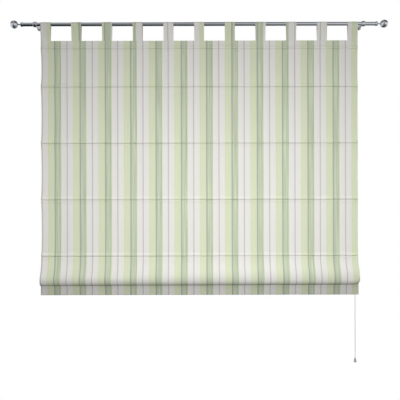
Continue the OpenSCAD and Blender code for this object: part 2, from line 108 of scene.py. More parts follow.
RIGHT_SHARES = (0.4, 0.4)

# Tabs
TAB_COUNT = 11
TAB_TUCK = 15 * MM
TAB_LEG = 1.0 * MM
TAB_STRIPE_SHIFT = 4 * MM
TAB_STRIPE_DRIFT = 0.14
TAB_CLOTH_APART = 370 * MM
TAB_STEP = 4 * MM
TAB_LEG_STEP = 5 * MM

# Stitches
STITCH_PITCH = 3.2 * MM
STITCH_SHARE = 0.75
STITCH_INSET = 4 * MM
THREAD_RADIUS = 0.25 * MM
THREAD_ROWS = 6
THREAD_SIDES = 5

# Stripes, measured along the cloth from its left edge
STRIPE_REPEAT = 127.8 * MM
STRIPE_START = 34.3 * MM

# Cords
LIFT_CORD_RADIUS = 0.9 * MM
PULL_CORD_RADIUS = 1.25 * MM
CORD_BEND = 6 * MM
CORD_COUNT = 4
CORD_SIDES = 12
CORD_SPACING = 2.1 * MM
OUTER_TURN = 11.5 * MM
INNER_TURN = 5.2 * MM
DROP_POINTS = 22


def linear(hex_colour):
    """Turns an sRGB hex value into linear red, green, blue and an alpha of one."""
    srgb = np.array([int(hex_colour[i:i + 2], 16) for i in (1, 3, 5)]) / 255
    light = np.where(srgb <= 0.04045, srgb / 12.92, ((srgb + 0.055) / 1.055) ** 2.4)
    return (*light.tolist(), 1.0)


# Camera
camera_data = bpy.data.cameras.new("camera")
camera_data.lens = LENS
camera_data.sensor_width = SENSOR
camera = bpy.data.objects.new("camera", camera_data)
bpy.context.scene.collection.objects.link(camera)
heading_lo, heading_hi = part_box("heading_band")
panel_y = heading_lo.y + CLOTH / 2
camera.matrix_world = (
    Matrix.Translation((VIEW_X, panel_y - VIEW_DISTANCE, VIEW_Z))
    @ Matrix.Rotation(math.pi / 2, 4, "X")
    @ Matrix.Rotation(VIEW_ROLL, 4, "Z")
)
bpy.context.scene.camera = camera


# Shader nodes

def add(tree, kind, links=None, **settings):
    """Adds one shader node with its own settings, and sets or links its inputs by name or number."""
    made = tree.nodes.new(kind)
    for key, value in settings.items():
        setattr(made, key, value)
    for socket, value in (links or {}).items():
        if isinstance(value, bpy.types.NodeSocket):
            tree.links.new(value, made.inputs[socket])
        else:
            made.inputs[socket].default_value = value
    return made


def new_material(name):
    """An empty material with its output, ready for nodes."""
    made = bpy.data.materials.new(name)
    made.use_nodes = True
    made.node_tree.nodes.clear()
    return made, made.node_tree, made.node_tree.nodes.new("ShaderNodeOutputMaterial")


def set_stops(ramp_node, stops, interpolation="LINEAR"):
    """Fills a colour ramp from pairs of place and hex colour."""
    ramp = ramp_node.color_ramp
    ramp.interpolation = interpolation
    while len(ramp.elements) < len(stops):
        ramp.elements.new(1.0)
    for element, (place, colour) in zip(ramp.elements, stops):
        element.position = place
        element.color = linear(colour)


def chrome_plate():
    """Chrome plated on polished steel: a dark mirror, with faint wiping marks that soften it in places."""
    made, tree, out = new_material("chrome_plate")
    place = add(tree, "ShaderNodeTexCoord")
    haze = add(tree, "ShaderNodeTexNoise", {
        "Vector": place.outputs["Object"], "Scale": 1 / (18 * MM), "Detail": 4.0,
    })
    rough = add(tree, "ShaderNodeMapRange", {"Value": haze.outputs["Fac"], "To Min": 0.03, "To Max": 0.08})
    shine = add(tree, "ShaderNodeBsdfPrincipled", {
        "Base Color": linear("#D2D5D8"), "Metallic": 1.0, "Roughness": rough.outputs["Result"],
    })
    tree.links.new(shine.outputs["BSDF"], out.inputs["Surface"])
    return made


def zinc_steel():
    """Zinc plated steel screws and pins: a grey satin metal with a mottled, slightly blue passivation."""
    made, tree, out = new_material("zinc_steel")
    place = add(tree, "ShaderNodeTexCoord")
    mottle = add(tree, "ShaderNodeTexNoise", {
        "Vector": place.outputs["Object"], "Scale": 1 / (1.5 * MM), "Detail": 3.0,
    })
    tone = add(tree, "ShaderNodeValToRGB", {"Fac": mottle.outputs["Fac"]})
    set_stops(tone, [(0.3, "#9EA3AA"), (0.7, "#BFC3C6")])
    bump = add(tree, "ShaderNodeBump", {
        "Height": mottle.outputs["Fac"], "Strength": 0.15, "Distance": 0.05 * MM,
    })
    shine = add(tree, "ShaderNodeBsdfPrincipled", {
        "Base Color": tone.outputs["Color"], "Metallic": 1.0, "Roughness": 0.36,
        "Normal": bump.outputs["Normal"],
    })
    tree.links.new(shine.outputs["BSDF"], out.inputs["Surface"])
    return made


def mill_aluminium():
    """Extruded aluminium as it leaves the die: a soft grey metal with fine lines along its length."""
    made, tree, out = new_material("mill_aluminium")
    place = add(tree, "ShaderNodeTexCoord")
    along = add(tree, "ShaderNodeMapping", {
        "Vector": place.outputs["Object"], "Scale": (8.0, 1 / (0.6 * MM), 1 / (0.6 * MM)),
    })
    lines = add(tree, "ShaderNodeTexNoise", {"Vector": along.outputs["Vector"], "Scale": 1.0, "Detail": 3.0})
    tone = add(tree, "ShaderNodeValToRGB", {"Fac": lines.outputs["Fac"]})
    set_stops(tone, [(0.3, "#B4B7BA"), (0.7, "#CDD0D2")])
    bump = add(tree, "ShaderNodeBump", {
        "Height": lines.outputs["Fac"], "Strength": 0.2, "Distance": 0.05 * MM,
    })
    shine = add(tree, "ShaderNodeBsdfPrincipled", {
        "Base Color": tone.outputs["Color"], "Metallic": 1.0, "Roughness": 0.42,
        "Normal": bump.outputs["Normal"],
    })
    tree.links.new(shine.outputs["BSDF"], out.inputs["Surface"])
    return made


def pultruded_glass_fibre():
    """Glass fibre rod drawn through resin: off white, with paler fibres along it under a soft gloss."""
    made, tree, out = new_material("pultruded_glass_fibre")
    place = add(tree, "ShaderNodeTexCoord")
    along = add(tree, "ShaderNodeMapping", {
        "Vector": place.outputs["Object"], "Scale": (20.0, 1 / (0.8 * MM), 1 / (0.8 * MM)),
    })
    fibre = add(tree, "ShaderNodeTexNoise", {"Vector": along.outputs["Vector"], "Scale": 1.0, "Detail": 4.0})
    tone = add(tree, "ShaderNodeValToRGB", {"Fac": fibre.outputs["Fac"]})
    set_stops(tone, [(0.3, "#CFCFC0"), (0.7, "#EDEDE2")])
    bump = add(tree, "ShaderNodeBump", {
        "Height": fibre.outputs["Fac"], "Strength": 0.2, "Distance": 0.08 * MM,
    })
    shine = add(tree, "ShaderNodeBsdfPrincipled", {
        "Base Color": tone.outputs["Color"], "Roughness": 0.35, "IOR": 1.54, "Normal": bump.outputs["Normal"],
    })
    tree.links.new(shine.outputs["BSDF"], out.inputs["Surface"])
    return made


def clear_polystyrene():
    """Clear moulded polystyrene: glassy, with a faint grey body and slight flow lines from the mould."""
    made, tree, out = new_material("clear_polystyrene")
    place = add(tree, "ShaderNodeTexCoord")
    flow = add(tree, "ShaderNodeTexNoise", {
        "Vector": place.outputs["Object"], "Scale": 1 / (6 * MM), "Detail": 2.0,
    })
    rough = add(tree, "ShaderNodeMapRange", {"Value": flow.outputs["Fac"], "To Min": 0.08, "To Max": 0.2})
    bump = add(tree, "ShaderNodeBump", {"Height": flow.outputs["Fac"], "Strength": 0.1, "Distance": 0.2 * MM})
    shine = add(tree, "ShaderNodeBsdfPrincipled", {
        "Base Color": linear("#D6DADF"), "Roughness": rough.outputs["Result"], "IOR": 1.59,
        "Transmission Weight": 0.55, "Normal": bump.outputs["Normal"],
    })
    tree.links.new(shine.outputs["BSDF"], out.inputs["Surface"])
    return made


def moulded_nylon():
    """White moulded nylon: a slightly warm, waxy white with a fine spark grain from the mould."""
    made, tree, out = new_material("moulded_nylon")
    place = add(tree, "ShaderNodeTexCoord")
    grain = add(tree, "ShaderNodeTexNoise", {
        "Vector": place.outputs["Object"], "Scale": 1 / (0.5 * MM), "Detail": 2.0,
    })
    tone = add(tree, "ShaderNodeValToRGB", {"Fac": grain.outputs["Fac"]})
    set_stops(tone, [(0.3, "#E4E3DE"), (0.7, "#F0EFEB")])
    bump = add(tree, "ShaderNodeBump", {
        "Height": grain.outputs["Fac"], "Strength": 0.25, "Distance": 0.06 * MM,
    })
    shine = add(tree, "ShaderNodeBsdfPrincipled", {
        "Base Color": tone.outputs["Color"], "Roughness": 0.45, "IOR": 1.53,
        "Subsurface Weight": 0.08, "Subsurface Scale": 1.5 * MM, "Normal": bump.outputs["Normal"],
    })
    tree.links.new(shine.outputs["BSDF"], out.inputs["Surface"])
    return made


def braided_polyester():
    """White braided polyester cord: a matt white with two sets of strands that cross round it."""
    made, tree, out = new_material("braided_polyester")
    lie = add(tree, "ShaderNodeUVMap", uv_map="cord")
    parts = add(tree, "ShaderNodeSeparateXYZ", {"Vector": lie.outputs["UV"]})
    strands = []
    for lean in (1, -1):
        # Eight strands to a turn, and a turn every 6 mm, are finer than the picture but show close to
        rise = add(tree, "ShaderNodeMath", {
            0: parts.outputs["Y"], 1: lean * 2 * math.pi * 8 / (6 * MM) / 8,
        }, operation="MULTIPLY")
        round_it = add(tree, "ShaderNodeMath", {
            0: parts.outputs["X"], 1: 2 * math.pi * 4,
        }, operation="MULTIPLY")
        both = add(tree, "ShaderNodeMath", {0: rise.outputs[0], 1: round_it.outputs[0]}, operation="ADD")
        strands.append(add(tree, "ShaderNodeMath", {0: both.outputs[0]}, operation="SINE"))
    braid = add(tree, "ShaderNodeMath", {
        0: strands[0].outputs[0], 1: strands[1].outputs[0],
    }, operation="MAXIMUM")
    tone = add(tree, "ShaderNodeMapRange", {"Value": braid.outputs[0], "From Min": -1.0})
    colour = add(tree, "ShaderNodeValToRGB", {"Fac": tone.outputs["Result"]})
    set_stops(colour, [(0.2, "#CFCFCC"), (0.8, "#F3F3F0")])
    bump = add(tree, "ShaderNodeBump", {
        "Height": tone.outputs["Result"], "Strength": 0.6, "Distance": 0.2 * MM,
    })
    shine = add(tree, "ShaderNodeBsdfPrincipled", {
        "Base Color": colour.outputs["Color"], "Roughness": 0.8, "Sheen Weight": 0.2,
        "Normal": bump.outputs["Normal"],
    })
    tree.links.new(shine.outputs["BSDF"], out.inputs["Surface"])
    return made


def striped_cotton():
    """Yarn dyed cotton in a plain weave: cream with light green and sage stripes, grey pinstripes and slubby
    threads."""
    made, tree, out = new_material("striped_cotton")
    lie = add(tree, "ShaderNodeUVMap", uv_map="cloth")
    parts = add(tree, "ShaderNodeSeparateXYZ", {"Vector": lie.outputs["UV"]})
    # Warp threads wander a little, so a stripe's edge is never quite straight
    drift_at = add(tree, "ShaderNodeMapping", {
        "Vector": lie.outputs["UV"], "Scale": (1 / (40 * MM), 1 / (160 * MM), 1),
    })
    drift = add(tree, "ShaderNodeTexNoise", {
        "Vector": drift_at.outputs["Vector"], "Scale": 1.0, "Detail": 1.0,
    })
    shift = add(tree, "ShaderNodeMapRange", {
        "Value": drift.outputs["Fac"], "To Min": -0.8 * MM, "To Max": 0.8 * MM,
    })
    across = add(tree, "ShaderNodeMath", {0: parts.outputs["X"], 1: shift.outputs["Result"]}, operation="ADD")
    from_start = add(tree, "ShaderNodeMath", {0: across.outputs[0], 1: STRIPE_START}, operation="SUBTRACT")
    repeats = add(tree, "ShaderNodeMath", {0: from_start.outputs[0], 1: STRIPE_REPEAT}, operation="DIVIDE")
    phase = add(tree, "ShaderNodeMath", {0: repeats.outputs[0]}, operation="FRACT")
    stripes = add(tree, "ShaderNodeValToRGB", {"Fac": phase.outputs[0]})
    set_stops(stripes, [(place * MM / STRIPE_REPEAT, colour) for place, colour in (
        (0, "#E0E7C8"), (32.6, "#E0E7C8"),
        (33.8, "#AFB7A7"), (38.4, "#AFB7A7"),
        (39.6, "#CBD2BF"), (46.0, "#CDD6BE"), (57.0, "#CCD7B9"),
        (60.5, "#C2CEB0"), (63.0, "#C4D0B3"), (66.2, "#CAD5B8"),
        (67.6, "#EFEDE8"), (94.6, "#EFEDE8"),
        (95.8, "#CDCDC8"), (100.0, "#CDCDC8"),
        (101.2, "#EFEDE8"), (126.0, "#EFEDE8"),
    )])
    # Streaks of 5 mm and threads of 1.6 mm stand for a 0.4 mm weave, which would be lost in the picture
    thread_at = add(tree, "ShaderNodeMapping", {
        "Vector": lie.outputs["UV"], "Scale": (1 / (5 * MM), 1 / (300 * MM), 1),
    })
    thread = add(tree, "ShaderNodeTexNoise", {
        "Vector": thread_at.outputs["Vector"], "Scale": 1.0, "Detail": 2.0,
    })
    slub_at = add(tree, "ShaderNodeMapping", {
        "Vector": lie.outputs["UV"], "Scale": (1 / (30 * MM), 1 / (1.6 * MM), 1),
    })
    slub = add(tree, "ShaderNodeTexNoise", {"Vector": slub_at.outputs["Vector"], "Scale": 1.0, "Detail": 2.0})
    # Sage stripes are woven from two greens, so their warp shows more
    in_sage = add(tree, "ShaderNodeValToRGB", {"Fac": phase.outputs[0]})
    set_stops(in_sage, [(place * MM / STRIPE_REPEAT, colour) for place, colour in (
        (0, "#404040"), (38.0, "#404040"), (41.0, "#FFFFFF"), (65.0, "#FFFFFF"), (68.0, "#404040"),
    )])
    warp_tone = add(tree, "ShaderNodeMapRange", {
        "Value": thread.outputs["Fac"], "From Min": 0.25, "From Max": 0.75, "To Min": -0.2, "To Max": 0.2,
    })
    warp_strength = add(tree, "ShaderNodeMath", {
        0: warp_tone.outputs["Result"], 1: in_sage.outputs["Color"],
    }, operation="MULTIPLY")
    weft_tone = add(tree, "ShaderNodeMapRange", {
        "Value": slub.outputs["Fac"], "From Min": 0.25, "From Max": 0.75, "To Min": 0.97, "To Max": 1.03,
    })
    tone = add(tree, "ShaderNodeMath", {
        0: warp_strength.outputs[0], 1: weft_tone.outputs["Result"],
    }, operation="ADD")
    colour = add(tree, "ShaderNodeVectorMath", {
        0: stripes.outputs["Color"], "Scale": tone.outputs[0],
    }, operation="SCALE")
    waves = []
    for part in ("X", "Y"):
        turn = add(tree, "ShaderNodeMath", {
            0: parts.outputs[part], 1: 2 * math.pi / (1.6 * MM),
        }, operation="MULTIPLY")
        waves.append(add(tree, "ShaderNodeMath", {0: turn.outputs[0]}, operation="SINE"))
    weave = add(tree, "ShaderNodeMath", {
        0: waves[0].outputs[0], 1: waves[1].outputs[0],
    }, operation="MULTIPLY")
    uneven = add(tree, "ShaderNodeMath", {0: weave.outputs[0], 1: thread.outputs["Fac"]}, operation="ADD")
    bump = add(tree, "ShaderNodeBump", {"Height": uneven.outputs[0], "Strength": 0.25, "Distance": 0.12 * MM})
    shine = add(tree, "ShaderNodeBsdfPrincipled", {
        "Base Color": colour.outputs["Vector"], "Roughness": 0.88, "Sheen Weight": 0.12,
        "Sheen Roughness": 0.5,
        "Specular IOR Level": 0.25, "Normal": bump.outputs["Normal"],
    })
    tree.links.new(shine.outputs["BSDF"], out.inputs["Surface"])
    return made


CHROME = chrome_plate()
STEEL = zinc_steel()
ALUMINIUM = mill_aluminium()
GLASS_FIBRE = pultruded_glass_fibre()
CLEAR = clear_polystyrene()
NYLON = moulded_nylon()
CORD = braided_polyester()
STRIPED = striped_cotton()


# Surfaces on a grid

def mesh_piece(name, points, faces, corner_uv, material, uv_name, sharp):
    """Puts points, faces and the faces' corner coordinates into a mesh with smooth faces and sharp edges."""
    mesh = bpy.data.meshes.new(name)
    mesh.from_pydata(points.reshape(-1, 3), [], faces)
    layer = mesh.uv_layers.new(name=uv_name)
    layer.data.foreach_set("uv", corner_uv.astype(np.float32).ravel())
    mesh.polygons.foreach_set("use_smooth", np.ones(len(mesh.polygons), bool))
    mesh.set_sharp_from_angle(angle=math.radians(sharp))
    mesh.materials.append(material)
    made = bpy.data.objects.new(name, mesh)
    bpy.context.scene.collection.objects.link(made)
    return made


def quads(index):
    """The faces of a grid of point numbers: every four neighbours, in turn."""
    return np.stack([index[:-1, :-1], index[:-1, 1:], index[1:, 1:], index[1:, :-1]], axis=-1).reshape(-1, 4)


def ring_piece(name, points, uv, material, uv_name="cord", sharp=50, bored=False):
    """Makes a closed surface from rows of points that each go round it: uv has one column more, and both ends
    are filled. If it is bored, its last row joins its first as the wall of the bore, and uv has one row more
    too."""
    index = np.arange(points.shape[0] * points.shape[1]).reshape(points.shape[:2])
    lie = np.arange(uv.shape[0] * uv.shape[1]).reshape(uv.shape[:2])
    rows = np.concatenate([index, index[:1]]) if bored else index
    faces = quads(np.concatenate([rows, rows[:, :1]], axis=1)).tolist()
    lies = quads(lie).ravel()
    if not bored:
        faces += [index[0, ::-1].tolist(), index[-1].tolist()]
        lies = np.concatenate([lies, lie[0, -2::-1], lie[-1, :-1]])
    return mesh_piece(name, points, faces, uv.reshape(-1, 2)[lies], material, uv_name, sharp)


def sheet_piece(name, front, back, uv, material):
    """Makes a closed sheet from the grids of its two faces: the front, the back turned round, and a rim."""
    size = front.shape[0] * front.shape[1]
    index = np.arange(size).reshape(front.shape[:2])
    strips = [
        np.stack([index[0, ::-1], index[0, ::-1] + size]), np.stack([index[-1], index[-1] + size]),
        np.stack([index[:, 0], index[:, 0] + size]), np.stack([index[::-1, -1], index[::-1, -1] + size]),
    ]
    rims = [quads(strip)[:, ::-1] for strip in strips]
    faces = np.concatenate([quads(index)[:, ::-1], quads(index + size), *rims])
    points = np.concatenate([front.reshape(-1, 3), back.reshape(-1, 3)])
    corner_uv = uv.reshape(-1, 2)[faces.ravel() % size]
    return mesh_piece(name, points, faces.tolist(), corner_uv, material, "cloth", 50)


def lengths_along(points):
    """How far along a line of points each one lies."""
    steps = np.linalg.norm(np.diff(points, axis=0), axis=1)
    return np.concatenate([[0], np.cumsum(steps)])


def tube(name, path, radius, material, sides=16):
    """A round cord along a path in a plane that faces front: at each point a circle lies across it."""
    path = np.asarray(path, float)
    way = np.gradient(path, axis=0)
    way /= np.linalg.norm(way, axis=1)[:, None]
    front = np.array([0.0, 1.0, 0.0])
    beside = np.cross(way, front)
    angle = np.linspace(0, 2 * np.pi, sides, endpoint=False)[None, :, None]
    points = path[:, None] + radius * (np.cos(angle) * front + np.sin(angle) * beside[:, None])
    turn = np.linspace(0, 1, sides + 1)[None, :]
    along = lengths_along(path)[:, None]
    uv = np.stack(np.broadcast_arrays(turn, along), axis=-1)
    return ring_piece(name, points, uv, material)


def arc(centre, radius, start, stop, count):
    """Points on an arc in the plane of the cloth's section, from one angle in degrees to another."""
    angle = np.radians(np.linspace(start, stop, count + 1))
    return np.asarray(centre) + radius * np.stack([np.cos(angle), np.sin(angle)], axis=1)


def curve(start, leave, arrive, stop, count):
    """A cubic curve that leaves its start towards one handle and arrives at its stop from the other."""
    t = np.linspace(0, 1, count + 1)[:, None]
    u = 1 - t
    start, leave, arrive, stop = (np.asarray(p, float) for p in (start, leave, arrive, stop))
    return u ** 3 * start + 3 * u ** 2 * t * leave + 3 * u * t ** 2 * arrive + t ** 3 * stop


def line(start, stop, step):
    """Points on a straight stretch, about a step apart."""
    start, stop = np.asarray(start, float), np.asarray(stop, float)
    count = max(1, round(np.linalg.norm(stop - start) / step))
    return start + (stop - start) * np.linspace(0, 1, count + 1)[:, None]


def joined(*stretches):
    """One path from stretches that follow each other, without the points that they share."""
    path = np.concatenate(stretches)
    apart = np.linalg.norm(np.diff(path, axis=0), axis=1) > 1e-6
    return path[np.concatenate([[True], apart])]


# Pull cord
drop_lo, drop_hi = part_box("pull_cord")
drop_x = (drop_lo.x + drop_hi.x) / 2
cord_y = (drop_lo.y + drop_hi.y) / 2
PULL_ROUTE_POINTS = 31
pull_route = np.stack([
    np.full(PULL_ROUTE_POINTS, drop_x),
    np.full(PULL_ROUTE_POINTS, cord_y),
    np.linspace(drop_hi.z, drop_lo.z, PULL_ROUTE_POINTS),
], axis=1)
pull_cord = tube("pull_cord_braid", pull_route, PULL_CORD_RADIUS, CORD)
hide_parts("pull_cord")
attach(pull_cord, "pull")

# Lift cords: along the heading, down through the guides, and down the back through the rings
knot_lo, knot_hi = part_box("cord_knots")
knot_z = (knot_lo.z + knot_hi.z) / 2
lock_post_x = drop_x - (OUTER_TURN + INNER_TURN) / 2
lock_post_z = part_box("cord_drop")[1].z
for k in range(1, CORD_COUNT + 1):
    lo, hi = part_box(f"lift_cord_{k}")
    left = lo.x + LIFT_CORD_RADIUS
    level = hi.z - LIFT_CORD_RADIUS
    turn = level - lock_post_z
    flat = joined(
        line((left, knot_z), (left, level - CORD_BEND), 20 * MM),
        arc((left + CORD_BEND, level - CORD_BEND), CORD_BEND, 180, 90, 8),
        line((left + CORD_BEND, level), (lock_post_x, level), 40 * MM),
        arc((lock_post_x, lock_post_z), turn, 90, 0, 12),
    )
    route = np.stack([flat[:, 0], np.full(len(flat), cord_y), flat[:, 1]], axis=1)
    lift_cord = tube(f"lift_cord_braid_{k}", route, LIFT_CORD_RADIUS, CORD, sides=CORD_SIDES)
    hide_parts(f"lift_cord_{k}")
    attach(lift_cord, "hung_set")
    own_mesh(lift_cord)

# Four straight cord ends from the lock to the connector, on no body: the real ones run out as the pull comes
# down
ends_lo, ends_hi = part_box("cord_drop")
for k in range(1, CORD_COUNT + 1):
    hi_z = lock_post_z
    lo_z = ends_lo.z
    x = ends_hi.x - LIFT_CORD_RADIUS - (k - 1) * CORD_SPACING
    route = np.stack([
        np.full(DROP_POINTS, x), np.full(DROP_POINTS, cord_y), np.linspace(hi_z, lo_z, DROP_POINTS),
    ], axis=1)
    drop = tube(f"cord_drop_braid_{k}", route, LIFT_CORD_RADIUS, CORD, sides=CORD_SIDES)
    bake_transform(drop)
    if k == 1:
        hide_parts("cord_drop")


# Cloth

half_width = heading_hi.x
heading_span = heading_hi.y - heading_lo.y - CLOTH
heading_top = heading_hi.z
seam_z = heading_lo.z
rods = [sum(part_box(f"batten_{i}"), start=heading_lo * 0) / 2 for i in range(1, 6)]
rod_radius = (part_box("batten_1")[1].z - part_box("batten_1")[0].z) / 2
tunnel_depth = rods[0].y - panel_y
tunnel_radius = rod_radius + SEAT + CLOTH / 2
neck_angle = math.degrees(math.asin(NECK_HALF / tunnel_radius))
lip_drop = NECK_HALF + TUCK_UNDER
lip_under = NECK_HALF + LIP_BELOW


def across_cloth(left, right, step, hem):
    """Places across the cloth: x, depth behind its own face, distance along it and the normal. With a hem the
    cloth turns round its edge and lies behind itself."""
    count = max(2, round((right - left) / step))
    x = np.linspace(left, right, count + 1)
    depth = np.zeros_like(x)
    if hem:
        turn = arc((HEM_TURN, HEM_TURN), HEM_TURN, 90, 270, 6)
        back = np.stack([np.linspace(hem, HEM_TURN, 5), np.full(5, 2 * HEM_TURN)], axis=1)
        edge = joined(back, turn)
        x = np.concatenate([left + edge[:, 0], x[1:-1], right - edge[::-1, 0]])
        depth = np.concatenate([edge[:, 1], depth[1:-1], edge[::-1, 1]])
    section = np.stack([x, depth], axis=1)
    along = lengths_along(section)
    first_front = len(edge) if hem else 0
    u = along - along[first_front] + x[first_front]
    way = np.gradient(section, axis=0)
    way /= np.linalg.norm(way, axis=1)[:, None]
    return x, depth, u, np.stack([-way[:, 1], way[:, 0]], axis=1)


def ripple(x, t):
    """How far a stretch of cloth stands off its plane: a few slow waves across, that die out at its seams."""
    slow = np.sin(7.1 * x + 0.6) + 0.6 * np.sin(15.7 * x + 2.1) + 0.35 * np.sin(31.0 * x + 4.0 + 3 * t)
    return RIPPLE * slow * np.sin(np.pi * t)


def side_bow(x, t):
    """How far the side edges draw in between two seams: most at the edge, and nothing in the middle."""
    reach = np.clip((np.abs(x) - (half_width - BOW_REACH)) / BOW_REACH, 0, 1) ** 2
    bow = np.where(x < 0, SIDE_BOW_LEFT, -SIDE_BOW_RIGHT)
    return bow * reach * np.sin(np.pi * t) ** 0.8


def cloth_piece(name, path, across, bow=None, stand=None, start_u=0.0, start_v=0.0):
    """Cloth of even thickness: a path in Y and Z carried across X, with each layer set off along the path's
    own normal. bow shifts x and stand shifts the cloth along the normal, both on the whole grid."""
    x, depth, u, normal = across
    path = np.broadcast_to(path[:, None] if path.ndim == 2 else path, (len(path), len(x), 2))
    way = np.gradient(path, axis=0)
    way /= np.linalg.norm(way, axis=2)[:, :, None]
    behind = np.stack([-way[:, :, 1], way[:, :, 0]], axis=2)
    layers = []
    for side in (-CLOTH / 2, CLOTH / 2):
        off = depth + side * normal[:, 1] + (0 if stand is None else stand)
        flat = path + behind * np.broadcast_to(off, path.shape[:2])[:, :, None]
        grid_x = np.broadcast_to(x + side * normal[:, 0] + (0 if bow is None else bow), path.shape[:2])
        layers.append(np.stack([grid_x, panel_y + flat[:, :, 0], flat[:, :, 1]], axis=2))
    v = start_v + lengths_along(path[:, len(x) // 2])[:, None]
    uv = np.stack(np.broadcast_arrays(u[None, :] + half_width + start_u, v), axis=-1)
    made = sheet_piece(name, *layers, uv, STRIPED)
    return made


def eased(start, stop):
    """Cloth near a seam: it leans smoothly from one depth to another, and hangs upright at both ends."""
    t = np.linspace(0, 1, EASE_POINTS)
    share = t * t * (3 - 2 * t)
    return np.stack([start[0] + (stop[0] - start[0]) * share, start[1] + (stop[1] - start[1]) * t], axis=1)


def tunnel(z):
    """Cloth that turns under at the tuck above a seam at height z, goes back round the batten behind it, and
    returns to the front."""
    under = (SEAM_LIP, z + NECK_HALF)
    lip = np.array([-TUCK_OUT, z + lip_drop])
    return joined(
        curve(lip, lip - (0, TUCK_UNDER / 2), (-TUCK_OUT / 2, under[1]), under, 8),
        arc((tunnel_depth, z), tunnel_radius, 180 - neck_angle, neck_angle - 180, 28),
        arc((LIP_BELOW - LIP_OUT, z - lip_under), LIP_BELOW, 90, 180, 6),
    )


wide = across_cloth(-half_width, half_width, COLUMN_STEP, HEM_WIDTH)
plain = across_cloth(-half_width, half_width, COLUMN_STEP, 0)
bodies_at = ["hung_set", "first_batten", "second_batten", "third_batten", "drawn_up_end"]

# Flat cloth between the seams: two rigid halves that meet at each stretch's middle, where a real blind folds
panel_top = seam_z - CLOTH / 2
for k in range(4):
    top = panel_top - LIP_BELOW if k == 0 else rods[k - 1].z - lip_under
    foot = rods[k].z + lip_drop
    middle = (top + foot) / 2
    stretch = top - foot
    for half, (a, b) in enumerate(((top, middle), (middle, foot))):
        if half == 0:
            upright = a - TUCK_RISE
            path = joined(eased((-LIP_OUT, a), (0, upright)), line((0, upright), (0, b), ROW_STEP))
        else:
            upright = b + TUCK_RISE
            path = joined(line((0, a), (0, upright), ROW_STEP), eased((0, upright), (-TUCK_OUT, b)))
        if k == 0 and half == 0:
            lip = arc((LIP_BELOW - LIP_OUT, top), LIP_BELOW, 90, 180, 6)
            path = joined([(heading_span, panel_top)], lip, path)
        t = np.clip((top - path[:, 1:]) / stretch, 0, 1)
        x = wide[0][None, :]
        piece = cloth_piece(
            f"panel_{k + 1}_{'upper' if half == 0 else 'lower'}", path, wide,
            bow=side_bow(x, t), stand=ripple(x, t), start_v=abs(a - panel_top),
        )
        way = -1 if half == 0 else 1
        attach(piece, bodies_at[k + half])
        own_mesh(piece)
        if k == 0 and half == 0:
            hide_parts("blind_panel")

# Tunnels that hold the three upper battens
for i in range(3):
    path = tunnel(rods[i].z)
    piece = cloth_piece(f"batten_tunnel_{i + 1}", path, plain)
    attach(piece, bodies_at[i + 1])

# Bottom fold, drawn up, and the hem below it
fold_lo, fold_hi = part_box("bottom_fold")
fold_seam = rods[3].z
drawn_up = rods[4].z
hem_foot = fold_lo.z
front_y = fold_lo.y + CLOTH / 2 - panel_y
fold_foot = fold_seam - FOLD_LENGTH
start = np.array([-LIP_OUT, fold_seam - lip_under])
neck_z = drawn_up - tunnel_radius - FOLD_NECK_BELOW
neck_front = np.array([tunnel_depth - NECK_HALF, neck_z])
neck_back = np.array([tunnel_depth + NECK_HALF, neck_z])
pocket_z = hem_foot + CLOTH / 2 + HEM_SPAN / 2
pocket_top = hem_foot + HEM_POCKET
hem_start = np.array([-HEM_FORWARD, pocket_top + 2 * HEM_LIP])
hem_down = np.array([0, hem_start[1] - neck_z])
hem_low = np.array([-HEM_FORWARD, pocket_z])


def fold_section(front, leave_share, arrive_share):
    """The fold's section: down the front to where it stands out most, round its foot as a quarter of an
    ellipse, up behind to the batten that is drawn up, over it, and down to the hem and round its pocket. The
    shares say how long the front hangs straight at its top and at its belly."""
    reach = np.array([front, fold_foot + FOLD_BELLY_UP])
    down = np.array([0, reach[1] - start[1]])
    foot = np.array([front + FOLD_ROUND, fold_foot + CLOTH / 2])
    quarter = np.radians(np.linspace(0, 90, FOLD_POINTS))[:, None]
    belly = foot - (FOLD_ROUND, 0) * np.cos(quarter) + (0, reach[1] - foot[1]) * (1 - np.sin(quarter))
    rise = np.array([0, neck_z - foot[1]])
    return joined(
        tunnel(fold_seam),
        curve(start, start + leave_share * down, reach - arrive_share * down, reach, FOLD_POINTS),
        belly,
        curve(foot, foot + (FOLD_ROUND / 2, 0), neck_front - rise * FOLD_BACK_SHARE, neck_front, FOLD_POINTS),
        arc((tunnel_depth, drawn_up), tunnel_radius, 270 - neck_angle, neck_angle - 90, FOLD_POINTS),
        curve(neck_back, neck_back + hem_down * HEM_LEAVE_SHARE,
              hem_start - hem_down * HEM_ARRIVE_SHARE, hem_start, FOLD_POINTS),
        line(hem_start, hem_low, 4 * MM),
        arc(hem_low + (HEM_SPAN / 2, 0), HEM_SPAN / 2, 180, 360, 12),
        line(hem_low + (HEM_SPAN, 0), (HEM_SPAN - HEM_FORWARD, pocket_top), 6 * MM),
        [(-HEM_FORWARD + CLOTH + SEAT, pocket_top + HEM_LIP)],
    )


